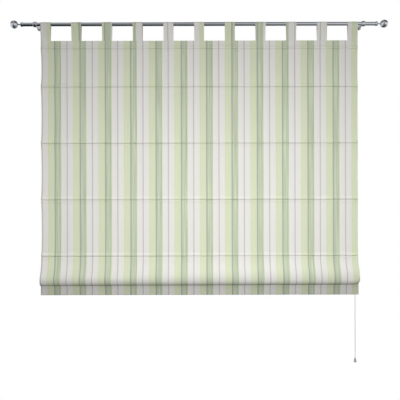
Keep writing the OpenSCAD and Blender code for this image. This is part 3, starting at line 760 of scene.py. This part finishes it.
# The left of the fold hangs straight for longer than the right before it stands out
edge_section = fold_section(front_y + FOLD_LESS_LEFT, *LEFT_SHARES)
belly_section = fold_section(front_y, *RIGHT_SHARES)
x = wide[0]
belly_share = np.clip(x / (2 * FOLD_BLEND) + 0.5, 0, 1)
fold_path = edge_section[:, None] + (belly_section - edge_section)[:, None] * belly_share[None, :, None]
corner = np.clip((x - (half_width - FOLD_CORNER)) / FOLD_CORNER, 0, 1)
low = np.clip(1 - (fold_path[:, :, 1] - fold_foot) / FOLD_CORNER_REACH, 0, 1)
low[len(tunnel(fold_seam)) + 3 * FOLD_POINTS:] = 0
slant = FOLD_SLANT * np.clip(0.5 - x / (2 * half_width), 0, 1)
fold_path[:, :, 1] += (FOLD_CORNER_RISE * (1 - np.sqrt(1 - corner ** 2)) - slant)[None, :] * low
fold = cloth_piece("bottom_fold_cloth", fold_path, wide, start_v=panel_top - fold_seam)
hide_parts("bottom_fold")
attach(fold, "drawn_up_end")

# Heading: a sleeve of doubled cloth, its upper edges turned in
TURNED_IN = 4 * MM
EDGE_TURN = 0.45 * MM
EDGE_STEP = 2 * MM
under_z = seam_z + CLOTH / 2
heading_foot = under_z + SEAM_LIP
tuck_foot = under_z + TUCK_UNDER
inner_back = heading_span - 2 * EDGE_TURN
heading_path = joined(
    line((2 * EDGE_TURN, heading_top - TURNED_IN), (2 * EDGE_TURN, heading_top - CLOTH), EDGE_STEP),
    arc((EDGE_TURN, heading_top - CLOTH), EDGE_TURN, 0, 180, 6),
    line((0, heading_top - CLOTH), (0, tuck_foot + TUCK_RISE), ROW_STEP),
    eased((0, tuck_foot + TUCK_RISE), (-TUCK_OUT, tuck_foot)),
    curve((-TUCK_OUT, tuck_foot), (-TUCK_OUT, tuck_foot - TUCK_UNDER / 2), (-TUCK_OUT / 2, under_z),
          (SEAM_LIP, under_z), 8),
    arc((heading_span - SEAM_LIP, heading_foot), SEAM_LIP, 270, 360, 6),
    line((heading_span, heading_foot), (heading_span, heading_top - CLOTH), ROW_STEP),
    arc((heading_span - EDGE_TURN, heading_top - CLOTH), EDGE_TURN, 0, 180, 6),
    line((inner_back, heading_top - CLOTH), (inner_back, heading_top - TURNED_IN), EDGE_STEP),
)
heading = cloth_piece("heading_cloth", heading_path, plain)
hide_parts("heading_band")
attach(heading, "hung_set")

# Tabs: both legs leave the heading side by side and close round the pole
pole_lo, pole_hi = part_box("pole")
pole_radius = (pole_hi.z - pole_lo.z) / 2
loop_radius = pole_radius + SEAT + CLOTH / 2
loop_centre = np.array([heading_span / 2, 0])
leg_front = np.array([TAB_LEG, heading_top])
leg_back = np.array([heading_span - TAB_LEG, heading_top])
leg_lean = math.degrees(math.atan2(loop_centre[0] - leg_front[0], -heading_top))
leg_meet = math.degrees(math.acos(loop_radius / np.linalg.norm(leg_front - loop_centre)))
for i in range(1, TAB_COUNT + 1):
    lo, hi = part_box(f"tab_{i}")
    start_angle = 270 - leg_lean - leg_meet
    stop_angle = -90 + leg_lean + leg_meet
    loop = arc(loop_centre, loop_radius, start_angle, stop_angle, 40)
    tab_path = joined(
        line(leg_front - (0, TAB_TUCK), leg_front, TAB_LEG_STEP),
        line(leg_front, loop[0], TAB_LEG_STEP),
        loop,
        line(loop[-1], leg_back, TAB_LEG_STEP),
        line(leg_back, leg_back - (0, TAB_TUCK), TAB_LEG_STEP),
    )
    tab = cloth_piece(
        f"tab_cloth_{i}", tab_path[::-1], across_cloth(lo.x, hi.x, TAB_STEP, 0),
        start_u=TAB_STRIPE_SHIFT * (1 - TAB_STRIPE_DRIFT * (i - 1)), start_v=i * TAB_CLOTH_APART,
    )
    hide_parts(f"tab_{i}")
    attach(tab, "hung_set")


def stitch_row(name, left, right, y, z, body):
    """A row of stitches on a cloth that faces front: each is a short thread that comes out of the cloth,
    arches over its face and goes in again, with a circle that narrows towards both ends."""
    count = round((right - left) / STITCH_PITCH)
    t = np.linspace(0, 1, THREAD_ROWS)
    arch = np.sin(np.pi * t)
    turn = np.linspace(0, 2 * np.pi, THREAD_SIDES, endpoint=False)
    radius = THREAD_RADIUS * (0.3 + 0.7 * arch)[:, None]
    x = left + STITCH_PITCH * (np.arange(count)[:, None, None] + STITCH_SHARE * t[None, :, None])
    points = np.stack(np.broadcast_arrays(
        x,
        y + THREAD_RADIUS * (1 - 1.6 * arch)[:, None] + radius * np.cos(turn),
        z - radius * np.sin(turn),
    ), axis=-1)
    index = np.arange(count * THREAD_ROWS * THREAD_SIDES).reshape(count, THREAD_ROWS, THREAD_SIDES)
    ring = np.concatenate([index, index[:, :, :1]], axis=2)
    neighbours = [ring[:, :-1, :-1], ring[:, :-1, 1:], ring[:, 1:, 1:], ring[:, 1:, :-1]]
    sides = np.stack(neighbours, axis=-1).reshape(-1, 4)
    faces = sides.tolist() + index[:, 0, ::-1].tolist() + index[:, -1].tolist()
    corners = np.concatenate([sides.ravel(), index[:, 0, ::-1].ravel(), index[:, -1].ravel()])
    row_of = corners // THREAD_SIDES % THREAD_ROWS
    lie = np.stack([corners % THREAD_SIDES / THREAD_SIDES, row_of * STITCH_PITCH / THREAD_ROWS], axis=1)
    row = mesh_piece(name, points, faces, lie, CORD, "cord", 60)
    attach(row, body)


cloth_face = panel_y - CLOTH / 2
stitch_ends = (-half_width + STITCH_INSET, half_width - STITCH_INSET)
for k, z in enumerate((heading_top - STITCH_INSET, tuck_foot + TUCK_RISE)):
    stitch_row(f"heading_stitches_{k + 1}", *stitch_ends, cloth_face, z, "hung_set")
stitch_row("hem_stitches", *stitch_ends, cloth_face - HEM_FORWARD, pocket_top, "drawn_up_end")

# Pole: the same tube, round enough to mirror the room without facets
POLE_WALL = 1.2 * MM
POLE_SIDES = 96
POLE_RIM = 0.3 * MM
outer = [
    (pole_lo.x, pole_radius - POLE_WALL),
    (pole_lo.x, pole_radius - POLE_RIM),
    (pole_lo.x + POLE_RIM, pole_radius),
]
section = np.array(outer + [(-x, r) for x, r in outer[::-1]])
angle = np.linspace(0, 2 * np.pi, POLE_SIDES, endpoint=False)
pole_mid = (pole_lo + pole_hi) / 2
points = np.stack(np.broadcast_arrays(
    section[:, :1],
    pole_mid.y + section[:, 1:] * np.cos(angle)[None, :],
    pole_mid.z + section[:, 1:] * np.sin(angle)[None, :],
), axis=-1)
round_pole = np.linspace(0, 1, POLE_SIDES + 1)[None, :]
uv = np.stack(np.broadcast_arrays(round_pole, np.concatenate([section, section[:1]])[:, :1]), axis=-1)
pole = ring_piece("pole_tube", points, uv, CHROME, sharp=30, bored=True)
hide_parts("pole")
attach(pole, "hung_set")


# Finishes of the solids that stay
finishes = {
    CHROME: ["finial_left", "finial_right", "bracket_left", "bracket_right", "rosette_left", "rosette_right"],
    STEEL: ["finial_grub_screws", "bracket_grub_screws", "guide_screws", "lock_pin"],
    ALUMINIUM: ["top_bar", "bottom_bar"],
    GLASS_FIBRE: [f"batten_{i}" for i in range(1, 6)],
    CLEAR: [f"rings_{i}" for i in range(1, 6)] + ["pull_acorn", "cord_connector"],
    NYLON: [f"cord_guide_{k}" for k in range(1, 5)] + ["cord_lock", "lock_cam"],
    CORD: ["cord_knots", "pull_knot"],
}
for material, nodes in finishes.items():
    for name in nodes:
        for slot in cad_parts[name].material_slots:
            slot.material = material

# Floor
FLOOR_Z = -2700 * MM
FLOOR_RADIUS = 2100 * MM
FLOOR_SIDES = 96
floor_material, tree, out = new_material("painted_floor")
place = add(tree, "ShaderNodeTexCoord")
cloud = add(tree, "ShaderNodeTexNoise", {"Vector": place.outputs["Object"], "Scale": 3.0, "Detail": 2.0})
tone = add(tree, "ShaderNodeValToRGB", {"Fac": cloud.outputs["Fac"]})
set_stops(tone, [(0.3, "#E2E2E0"), (0.7, "#E8E8E6")])
paint = add(tree, "ShaderNodeBsdfPrincipled", {
    "Base Color": tone.outputs["Color"], "Roughness": 0.7, "Emission Color": tone.outputs["Color"],
    "Emission Strength": 0.55,
})
tree.links.new(paint.outputs["BSDF"], out.inputs["Surface"])
angle = np.linspace(0, 2 * np.pi, FLOOR_SIDES, endpoint=False)
level = np.full(FLOOR_SIDES, FLOOR_Z)
ring = np.stack([FLOOR_RADIUS * np.cos(angle), FLOOR_RADIUS * np.sin(angle), level], axis=1)
floor_mesh = bpy.data.meshes.new("floor")
floor_mesh.from_pydata(ring, [], [list(range(FLOOR_SIDES))])
floor_mesh.materials.append(floor_material)
floor = bpy.data.objects.new("floor", floor_mesh)
bpy.context.scene.collection.objects.link(floor)
floor.visible_diffuse = False
floor.visible_glossy = False


def soft_panel(name, place, aim, width, height, power, spread):
    """A soft light panel at a place, turned to face what it is aimed at."""
    data = bpy.data.lights.new(name, "AREA")
    data.shape = "RECTANGLE"
    data.size = width
    data.size_y = height
    data.energy = power
    data.spread = math.radians(spread)
    made = bpy.data.objects.new(name, data)
    way = Vector(aim) - Vector(place)
    made.matrix_world = Matrix.Translation(place) @ way.to_track_quat("-Z", "Y").to_matrix().to_4x4()
    made.visible_glossy = False
    bpy.context.scene.collection.objects.link(made)


# Light: a long soft panel in front at the middle of the blind, one above that is aimed low, and one behind
soft_panel("front_panel", (0.15, -1.95, -0.95), (0.15, 0, -0.95), 2.4, 0.82, 22, 150)
soft_panel("upper_panel", (0.1, -1.6, 1.0), (0.05, panel_y, -1.25), 2.2, 0.8, 2.2, 50)
soft_panel("rear_panel", (0, 2.1, -0.6), (0, 0, -0.75), 2.6, 1.6, 24, 150)

# A card in the lower part of the front panel's beam, unseen itself, that shades the foot of the blind
CARD_HALF_WIDTH = 2.0
CARD_Y = -0.58
CARD_TOP = -1.262
CARD_FOOT = CARD_TOP - 0.25
card_mesh = bpy.data.meshes.new("card")
card_mesh.from_pydata([(x, CARD_Y, z) for x, z in (
    (-CARD_HALF_WIDTH, CARD_FOOT), (CARD_HALF_WIDTH, CARD_FOOT),
    (CARD_HALF_WIDTH, CARD_TOP), (-CARD_HALF_WIDTH, CARD_TOP),
)], [], [(0, 1, 2, 3)])
card = bpy.data.objects.new("card", card_mesh)
bpy.context.scene.collection.objects.link(card)
card.visible_camera = False
card.visible_glossy = False
card.visible_diffuse = False
card.visible_transmission = False

# Surroundings: soft light that is stronger from above, a mirrored room, and white behind
world = bpy.data.worlds.new("studio")
world.use_nodes = True
tree = world.node_tree
tree.nodes.clear()
out = tree.nodes.new("ShaderNodeOutputWorld")
ray = add(tree, "ShaderNodeLightPath")
place = add(tree, "ShaderNodeTexCoord")
way = add(tree, "ShaderNodeSeparateXYZ", {"Vector": place.outputs["Generated"]})
height = add(tree, "ShaderNodeMapRange", {"Value": way.outputs["Z"], "From Min": -1.0})
# What the chrome mirrors, from far left to far right: pale walls at the sides, a dim room behind the camera
rooms = [
    (-0.55, [(0, "#8E9094"), (0.3, "#E8EAEE"), (0.6, "#FFFFFF"), (0.78, "#70747A"), (1, "#5A5E64")]),
    (-0.31, [(0, "#1C1C1E"), (0.2, "#343436"), (0.4, "#5A5C60"), (0.67, "#A8AAAE"), (0.97, "#D0D2D6")]),
    (0.0, [(0, "#2C2E30"), (0.1, "#3A3C3E"), (0.5, "#D4D6DA"), (0.75, "#A0A2A6"), (0.95, "#64666A")]),
    (0.31, [(0.02, "#585A5E"), (0.34, "#EEF0F2"), (0.6, "#E4E6EA"), (0.82, "#CED0D4"), (0.95, "#6E7076")]),
    (0.55, [(0, "#5C6066"), (0.25, "#A0A4A8"), (0.42, "#FFFFFF"), (0.6, "#FFFFFF"), (0.75, "#5C6066")]),
]
walls = []
for across, stops in rooms:
    wall = add(tree, "ShaderNodeValToRGB", {"Fac": height.outputs["Result"]})
    set_stops(wall, stops)
    walls.append(wall.outputs["Color"])
room = walls[0]
for k in range(1, len(rooms)):
    share = add(tree, "ShaderNodeMapRange", {
        "Value": way.outputs["X"], "From Min": rooms[k - 1][0], "From Max": rooms[k][0],
    })
    mixed = add(tree, "ShaderNodeMix", {0: share.outputs["Result"], 6: room, 7: walls[k]}, data_type="RGBA")
    room = mixed.outputs[2]
above = add(tree, "ShaderNodeMapRange", {
    "Value": way.outputs["Z"], "From Min": -0.5, "From Max": 0.5, "To Min": 0.04, "To Max": 0.23,
})
soft = add(tree, "ShaderNodeBackground", {"Color": linear("#FFFFFF"), "Strength": above.outputs["Result"]})
mirrored = add(tree, "ShaderNodeBackground", {"Color": room, "Strength": 1.0})
white = add(tree, "ShaderNodeBackground", {"Color": linear("#FFFFFF"), "Strength": 1.0})
lit = add(tree, "ShaderNodeMixShader", {
    0: ray.outputs["Is Glossy Ray"], 1: soft.outputs[0], 2: mirrored.outputs[0],
})
seen = add(tree, "ShaderNodeMixShader", {
    0: ray.outputs["Is Camera Ray"], 1: lit.outputs[0], 2: white.outputs[0],
})
tree.links.new(seen.outputs[0], out.inputs["Surface"])
bpy.context.scene.world = world
bpy.context.scene.view_settings.view_transform = "Standard"
